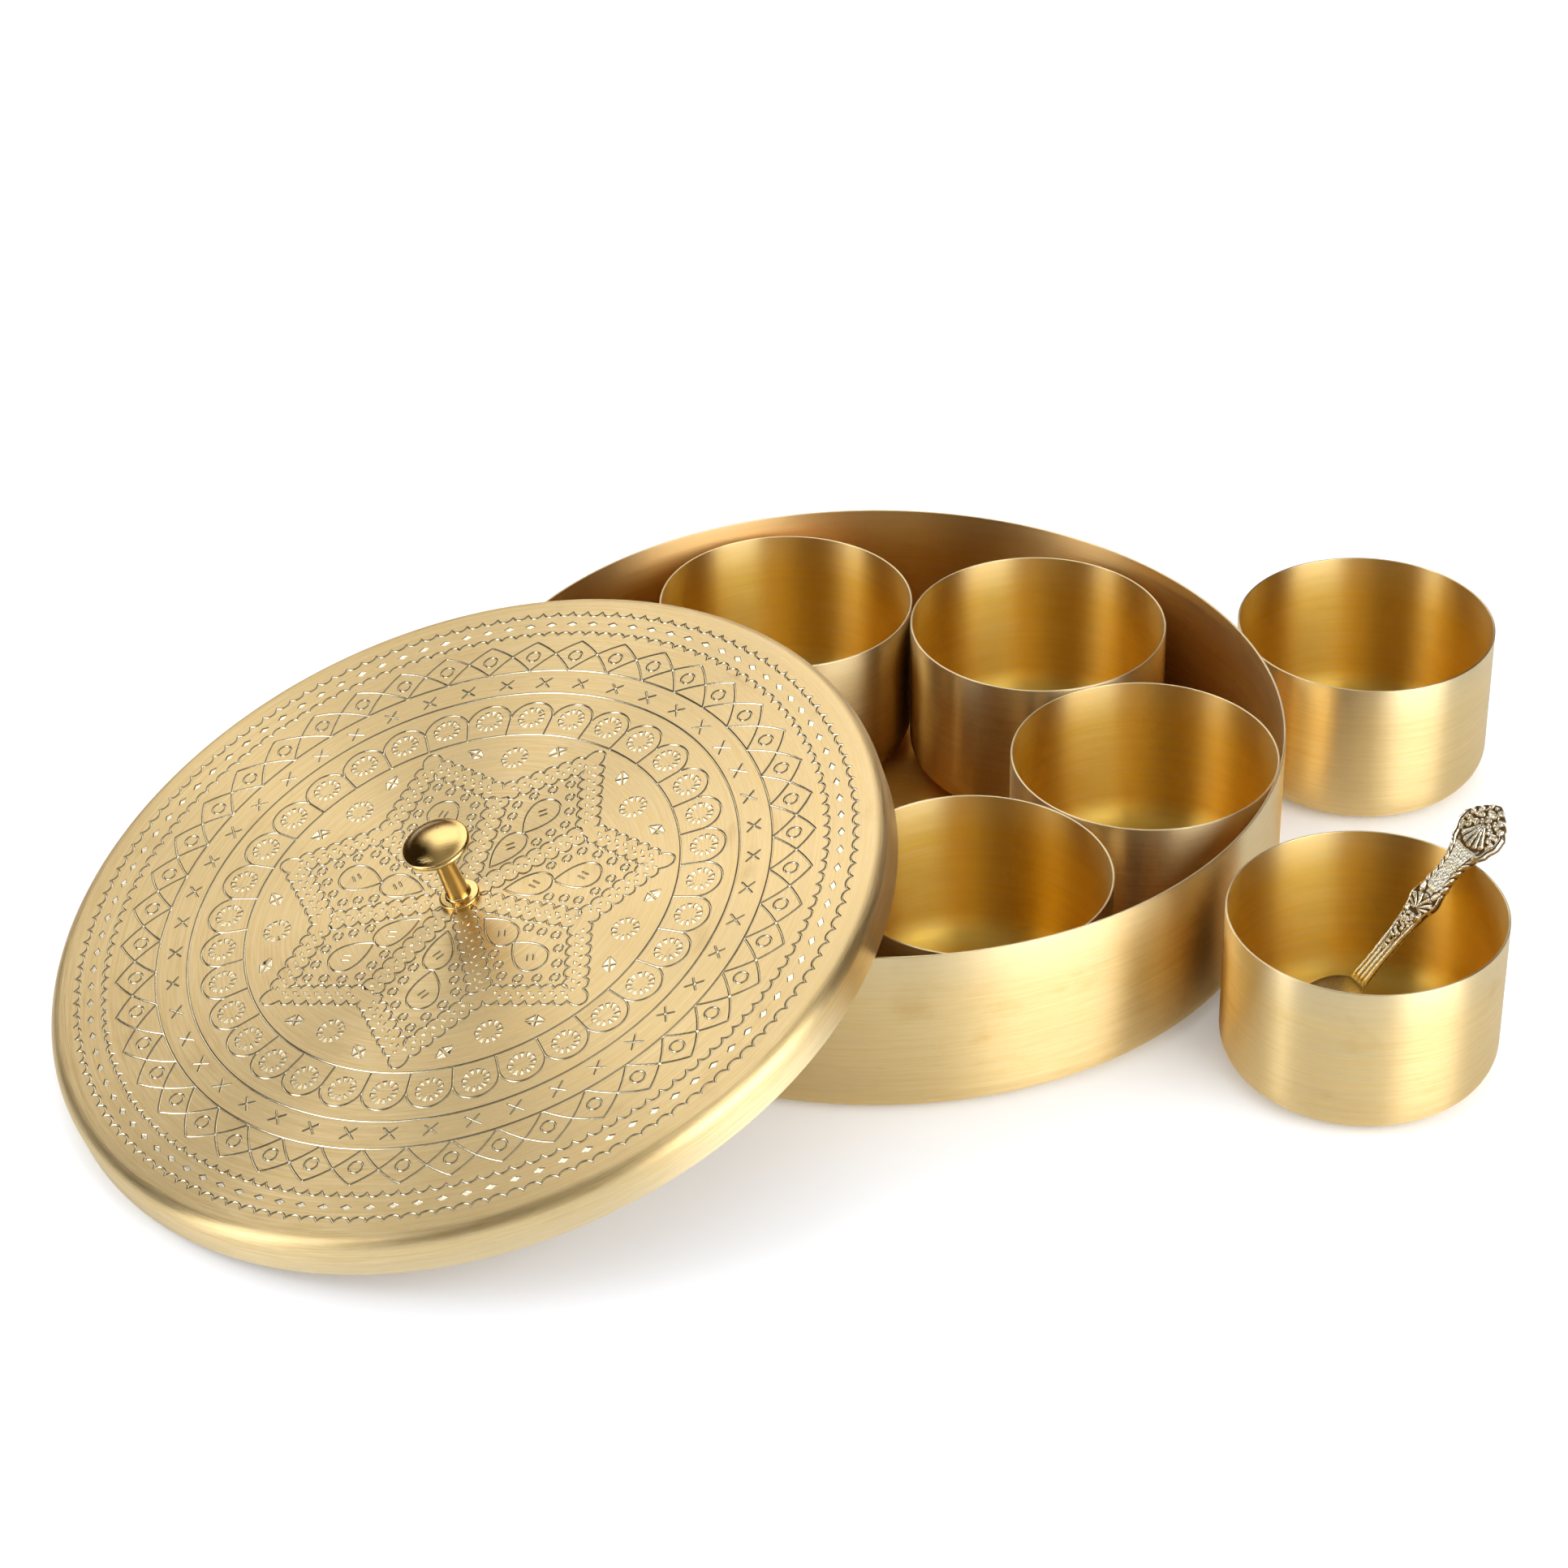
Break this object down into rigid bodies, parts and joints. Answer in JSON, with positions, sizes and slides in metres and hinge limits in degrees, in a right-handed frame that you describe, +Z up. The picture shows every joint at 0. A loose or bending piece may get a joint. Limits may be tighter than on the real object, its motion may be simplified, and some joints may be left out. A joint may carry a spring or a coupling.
{
  "type": "spice box",
  "caption": "Round brass spice box with loose straight-walled bowls, an engraved lid with a small knob leaning on its rim, and an ornamented spoon.",
  "frame": {"origin": "middle of the box's flat underside, on the table", "axes": "+Z up, +X to the right along the set, +Y to the back of the box"},
  "size_m": [0.3543, 0.2669, 0.0707],
  "materials": {
    "brushed_brass": "sheet brass, brushed round its wall, satin",
    "bowl_brass": "sheet brass, brushed round inside and out, satin",
    "lid_brass": "sheet brass, brushed flat and engraved, satin",
    "polished_brass": "turned and polished brass, mirror bright",
    "antique_brass": "cast ornament, polished on its high places and dark in its hollows",
    "plated_steel": "plated steel screw"
  },
  "bodies": {
    "box": {"box": "brushed_brass"},
    "lid": {"lid": "lid_brass", "lid_knob": "polished_brass", "knob_screw": "plated_steel"},
    "bowl_back_left": {"bowl_back_left": "bowl_brass"},
    "bowl_back_right": {"bowl_back_right": "bowl_brass"},
    "bowl_right": {"bowl_right": "bowl_brass"},
    "bowl_front": {"bowl_front": "bowl_brass"},
    "bowl_left": {"bowl_left": "bowl_brass"},
    "bowl_outside_back": {"bowl_outside_back": "bowl_brass"},
    "bowl_outside_front": {"bowl_outside_front": "bowl_brass"},
    "spoon": {"spoon": "antique_brass"}
  },
  "joints": [
    {"name": "lid_lift", "type": "slide", "parent": "box", "child": "lid", "axis": [0, 0, 1], "range_m": [0, 0.12]},
    {"name": "bowl_back_left_lift", "type": "slide", "parent": "box", "child": "bowl_back_left", "axis": [0, 0, 1], "range_m": [0, 0.06]},
    {"name": "bowl_back_right_lift", "type": "slide", "parent": "box", "child": "bowl_back_right", "axis": [0, 0, 1], "range_m": [0, 0.06]},
    {"name": "bowl_right_lift", "type": "slide", "parent": "box", "child": "bowl_right", "axis": [0, 0, 1], "range_m": [0, 0.06]},
    {"name": "bowl_front_lift", "type": "slide", "parent": "box", "child": "bowl_front", "axis": [0, 0, 1], "range_m": [0, 0.06]},
    {"name": "bowl_left_lift", "type": "slide", "parent": "box", "child": "bowl_left", "axis": [0, 0, 1], "range_m": [0, 0.06]},
    {"name": "bowl_outside_back_lift", "type": "slide", "parent": "box", "child": "bowl_outside_back", "axis": [0, 0, 1], "range_m": [0, 0.06]},
    {"name": "bowl_outside_front_lift", "type": "slide", "parent": "box", "child": "bowl_outside_front", "axis": [0, 0, 1], "range_m": [0, 0.06]},
    {"name": "spoon_lift", "type": "slide", "parent": "bowl_outside_front", "child": "spoon", "axis": [0, 0, 1], "range_m": [0, 0.06]}
  ],
  "couplings": [
    {"joint": "bowl_front_lift", "follows": "lid_lift", "ratio": 0.5},
    {"joint": "bowl_left_lift", "follows": "lid_lift", "ratio": 0.5}
  ]
}
